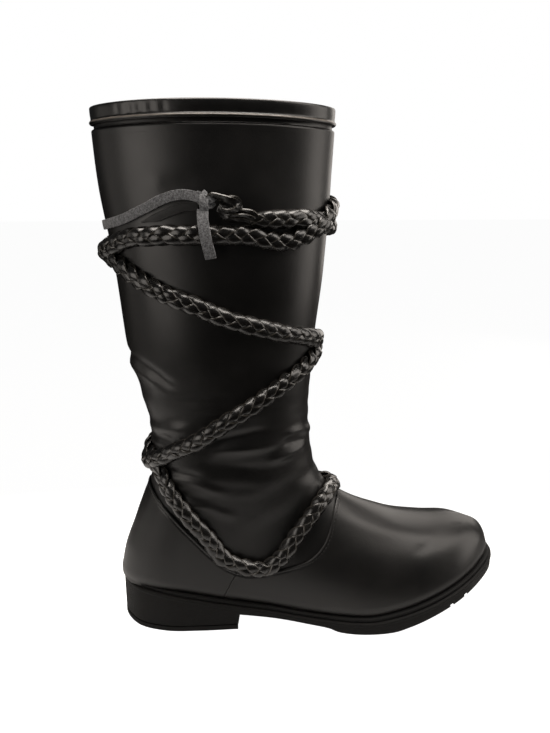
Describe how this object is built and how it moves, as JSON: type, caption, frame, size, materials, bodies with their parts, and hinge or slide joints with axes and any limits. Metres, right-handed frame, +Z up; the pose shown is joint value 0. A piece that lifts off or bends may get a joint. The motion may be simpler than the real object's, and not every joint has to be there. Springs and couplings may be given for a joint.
{
  "type": "boot",
  "caption": "Calf-high pull-on leather boot for the right foot, with a round toe, low heel and plaited cord wound crosswise round the shaft",
  "frame": {"origin": "on the heel's flat bottom face, on the boot's middle line, 38 mm in front of the back of the heel", "axes": "+X runs from the heel to the toe, +Y to the inner side of the foot, +Z up the shaft"},
  "size_m": [0.3055, 0.1094, 0.3821],
  "materials": {
    "upper_leather": "smooth black leather with a soft gloss",
    "cord_leather": "smooth black leather strips with bright cut edges",
    "suede": "matt grey suede",
    "lining": "dark woven lining",
    "sole_rubber": "matt black",
    "welt_rubber": "matt black"
  },
  "bodies": {
    "root": {"outsole": "sole_rubber", "top_lift": "sole_rubber", "welt": "welt_rubber", "insole": "lining", "upper": "upper_leather", "vamp": "upper_leather", "counter": "upper_leather", "top_band": "upper_leather", "plaited_cord": "cord_leather", "smooth_knot": "cord_leather", "smooth_tie": "cord_leather", "suede_knot": "suede", "suede_tie": "suede", "suede_tail": "suede"}
  },
  "joints": []
}
